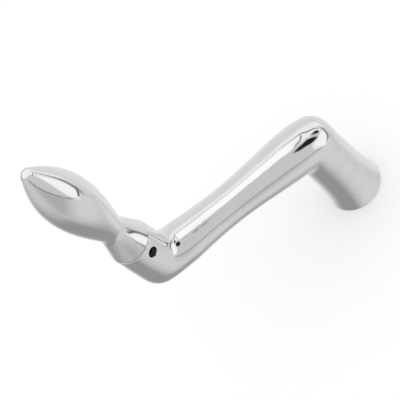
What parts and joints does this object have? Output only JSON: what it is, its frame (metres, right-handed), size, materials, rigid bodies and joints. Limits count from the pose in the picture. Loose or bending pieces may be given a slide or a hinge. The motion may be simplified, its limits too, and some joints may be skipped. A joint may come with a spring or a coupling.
{
  "type": "offset crank handle with revolving grip",
  "caption": "Chrome-plated offset crank: round hub with a blind bore, waisted arm and a turned grip that spins on a spindle held by a set screw.",
  "frame": {"origin": "centre of the hub bore at the hub's mounting face", "axes": "+Z along the bore axis away from the mounting face, towards the grip side; +X from the hub axis to the grip axis; the crank lies in the XZ plane"},
  "size_m": [0.1304, 0.0336, 0.2069],
  "materials": {
    "arm_chrome": "polished chrome plate over a casting",
    "grip_chrome": "polished chrome plate over turned steel",
    "spindle_steel": "ground steel, lightly greased",
    "spring_wire": "drawn spring steel wire",
    "black_steel": "black oxide"
  },
  "bodies": {
    "crank": {"crank_arm": "arm_chrome", "grip_spindle": "spindle_steel", "set_screw": "black_steel", "snap_ring": "spring_wire"},
    "grip": {"grip": "grip_chrome"}
  },
  "joints": [
    {"name": "grip_spin", "type": "hinge", "parent": "crank", "child": "grip", "pos_m": [0.1, 0, 0.1193], "axis": [0, 0, 1], "continuous": true}
  ]
}
